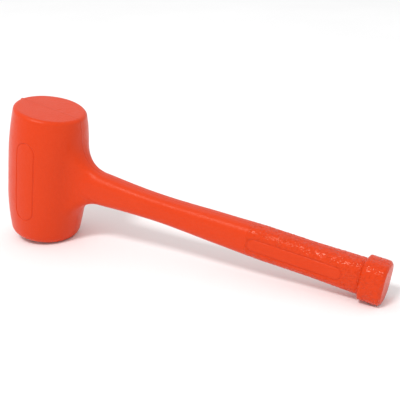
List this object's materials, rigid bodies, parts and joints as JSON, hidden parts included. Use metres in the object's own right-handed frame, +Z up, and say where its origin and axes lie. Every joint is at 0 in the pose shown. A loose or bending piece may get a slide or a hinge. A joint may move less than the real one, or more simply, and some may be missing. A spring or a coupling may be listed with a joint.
{
  "type": "dead blow mallet",
  "caption": "Dead blow mallet: barrel head and oval-handled grip cast in one urethane jacket over a steel canister of loose shot and a steel handle rod.",
  "frame": {"origin": "under the middle of the mallet's box, on the bench it lies on: it touches the bench with the rim of its lower face and with its pommel", "axes": "+X runs along the bench from the head to the pommel, +Z is up, and +Y goes across the mallet, which is the same on both sides of its XZ plane"},
  "size_m": [0.3575, 0.0712, 0.1288],
  "materials": {
    "urethane": "satin",
    "tube_steel": "satin",
    "cap_steel": "satin",
    "weld_steel": "matte",
    "rod_steel": "satin",
    "shot_steel": "polished"
  },
  "bodies": {
    "mallet": {"urethane_jacket": "urethane", "canister_tube": "tube_steel", "canister_cap_upper": "cap_steel", "canister_cap_lower": "cap_steel", "cap_weld_upper": "weld_steel", "cap_weld_lower": "weld_steel", "rod_boss": "tube_steel", "boss_weld": "weld_steel", "handle_rod": "rod_steel", "rod_weld": "weld_steel", "anchor_washer": "cap_steel", "washer_weld": "weld_steel"},
    "shot_charge": {"shot_layer_01": "shot_steel", "shot_layer_02": "shot_steel", "shot_layer_03": "shot_steel", "shot_layer_04": "shot_steel", "shot_layer_05": "shot_steel", "shot_layer_06": "shot_steel", "shot_layer_07": "shot_steel", "shot_layer_08": "shot_steel", "shot_layer_09": "shot_steel"}
  },
  "joints": [
    {"name": "shot_slide", "type": "slide", "parent": "mallet", "child": "shot_charge", "axis": [0.1448, 0, 0.9895], "range_m": [0, 0.02138]}
  ]
}
